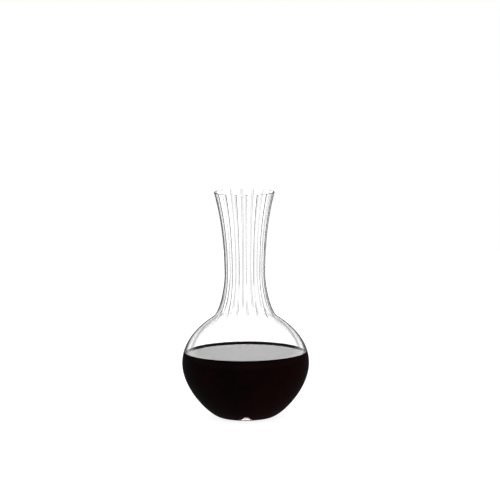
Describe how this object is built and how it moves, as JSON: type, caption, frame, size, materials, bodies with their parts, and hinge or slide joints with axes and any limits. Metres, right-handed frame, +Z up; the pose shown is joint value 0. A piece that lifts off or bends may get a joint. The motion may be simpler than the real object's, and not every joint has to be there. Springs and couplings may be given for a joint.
{
  "type": "wine decanter",
  "caption": "Open glass wine decanter: round bowl on a small foot ring, slim neck ribbed on its inner side, flared mouth, part filled with red wine.",
  "frame": {"origin": "on the vessel's axis, in the plane that its foot ring stands on", "axes": "+Z up along the vessel's axis, through the mouth; +Y through the neck's tallest rib but for 5 degrees. The ribs repeat every 22.5 degrees and differ only in height, so +X and +Y hardly matter in use"},
  "size_m": [0.1424, 0.1424, 0.2534],
  "materials": {
    "clear_glass": "clear, fire-polished, colourless",
    "red_wine": "still dark red liquid with a mirror-smooth level surface"
  },
  "bodies": {
    "root": {"decanter_glass": "clear_glass", "wine": "red_wine"}
  },
  "joints": []
}
